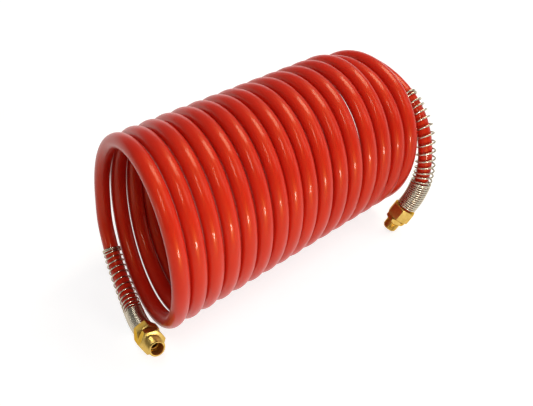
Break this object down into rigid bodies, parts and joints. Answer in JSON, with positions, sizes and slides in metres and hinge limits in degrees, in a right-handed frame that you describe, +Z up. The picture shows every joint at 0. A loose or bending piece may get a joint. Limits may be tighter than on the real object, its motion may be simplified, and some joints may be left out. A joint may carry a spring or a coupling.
{
  "type": "coiled air hose",
  "caption": "Self-retracting coiled nylon air hose with spring bend guards and brass male pipe fittings, one of them a swivel",
  "frame": {"origin": "On the floor, on the flat under the turn halfway along the coil.", "axes": "X along the coil's axis from the swivel end to the fixed end, Y towards the back, away from the fittings, Z up."},
  "size_m": [0.3169, 0.1707, 0.1534],
  "materials": {
    "hose_nylon": "glossy, slightly translucent",
    "guard_wire": "nickel-plated spring wire",
    "machined_brass": "bright machined brass",
    "ferrule_brass": "dull annealed brass",
    "seal_rubber": "black nitrile",
    "washer_plastic": "white acetal",
    "snap_steel": "bright spring wire"
  },
  "bodies": {
    "coil": {"hose_coil": "hose_nylon", "hose_lead_swivel_end": "hose_nylon", "spring_guard_swivel_end": "guard_wire", "nut_swivel_end": "machined_brass", "ferrule_swivel_end": "ferrule_brass", "swivel_stem": "machined_brass", "swivel_seal_ring": "seal_rubber", "swivel_thrust_washer": "washer_plastic", "swivel_snap_ring": "snap_steel"},
    "swivel": {"swivel_connector": "machined_brass"},
    "free_end": {"hose_lead_fixed_end": "hose_nylon", "spring_guard_fixed_end": "guard_wire", "nut_fixed_end": "machined_brass", "ferrule_fixed_end": "ferrule_brass", "fixed_connector": "machined_brass"}
  },
  "joints": [
    {"name": "swivel", "type": "hinge", "parent": "coil", "child": "swivel", "pos_m": [-0.13181, -0.05403, 0.02134], "axis": [-0.1514, -0.9147, 0.3746], "continuous": true},
    {"name": "coil_stretch", "type": "slide", "parent": "coil", "child": "free_end", "axis": [1, 0, 0], "range_m": [0, 0.6], "stiffness_N_per_m": 24, "deforming": ["hose_coil"]}
  ]
}
